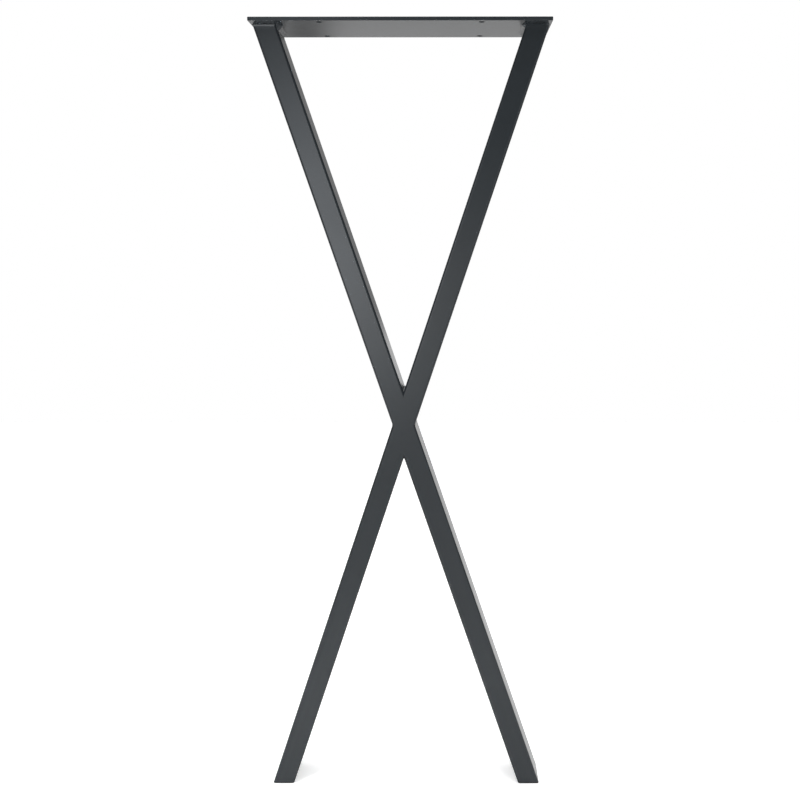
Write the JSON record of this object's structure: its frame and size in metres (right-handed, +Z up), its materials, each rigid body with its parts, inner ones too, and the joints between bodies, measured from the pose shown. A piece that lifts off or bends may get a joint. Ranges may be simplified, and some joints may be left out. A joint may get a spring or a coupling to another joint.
{
  "type": "x-shaped table leg",
  "caption": "X-shaped table leg of crossed rectangular steel tubes, welded flush at the crossing, under a flat drilled plate that screws to a table top.",
  "frame": {"origin": "on the floor, below the middle of the top plate", "axes": "+Z up from the feet to the plate, +X across the leg along the plate, +Y through the leg's depth, away from the viewer"},
  "size_m": [0.404, 0.11, 1.1],
  "materials": {
    "powder_coated_steel": "satin anthracite powder coat",
    "plug_plastic": "matte black moulded plastic"
  },
  "bodies": {
    "root": {"long_leg_tube": "powder_coated_steel", "upper_short_tube": "powder_coated_steel", "lower_short_tube": "powder_coated_steel", "top_plate": "powder_coated_steel", "left_plate_weld": "powder_coated_steel", "right_plate_weld": "powder_coated_steel", "upper_cross_weld": "powder_coated_steel", "lower_cross_weld": "powder_coated_steel", "left_foot_plug": "plug_plastic", "right_foot_plug": "plug_plastic"}
  },
  "joints": []
}
